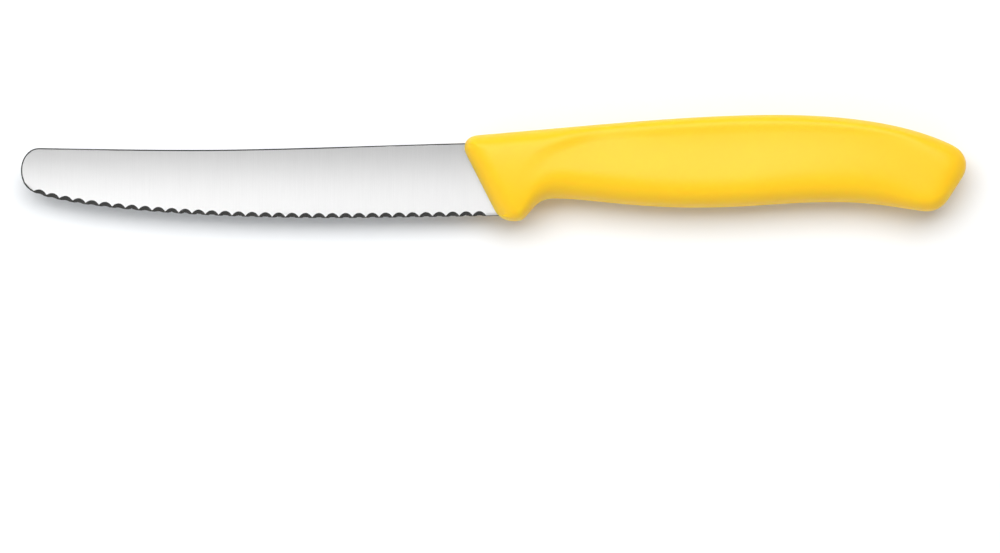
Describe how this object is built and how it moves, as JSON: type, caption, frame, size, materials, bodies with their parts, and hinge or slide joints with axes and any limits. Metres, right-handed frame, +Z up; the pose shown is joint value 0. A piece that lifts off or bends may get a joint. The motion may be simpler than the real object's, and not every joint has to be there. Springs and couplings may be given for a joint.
{
  "type": "serrated table knife",
  "caption": "Small serrated kitchen knife: a round-tipped stainless blade with ground scallops, its tang moulded into a yellow plastic handle with a finger guard.",
  "frame": {"origin": "middle of the footprint, at the level of the lowest point: the knife lies on its side", "axes": "+X from the blade's tip to the butt of the handle, +Y from the cutting edge to the spine, +Z up out of the scalloped face"},
  "size_m": [0.222, 0.025, 0.0134],
  "materials": {
    "steel": "fine satin grind across the blade, wheel-ground scallops, tumbled edges",
    "handle_plastic": "moulded polypropylene with a fine satin texture"
  },
  "bodies": {
    "root": {"blade": "steel", "handle": "handle_plastic"}
  },
  "joints": []
}
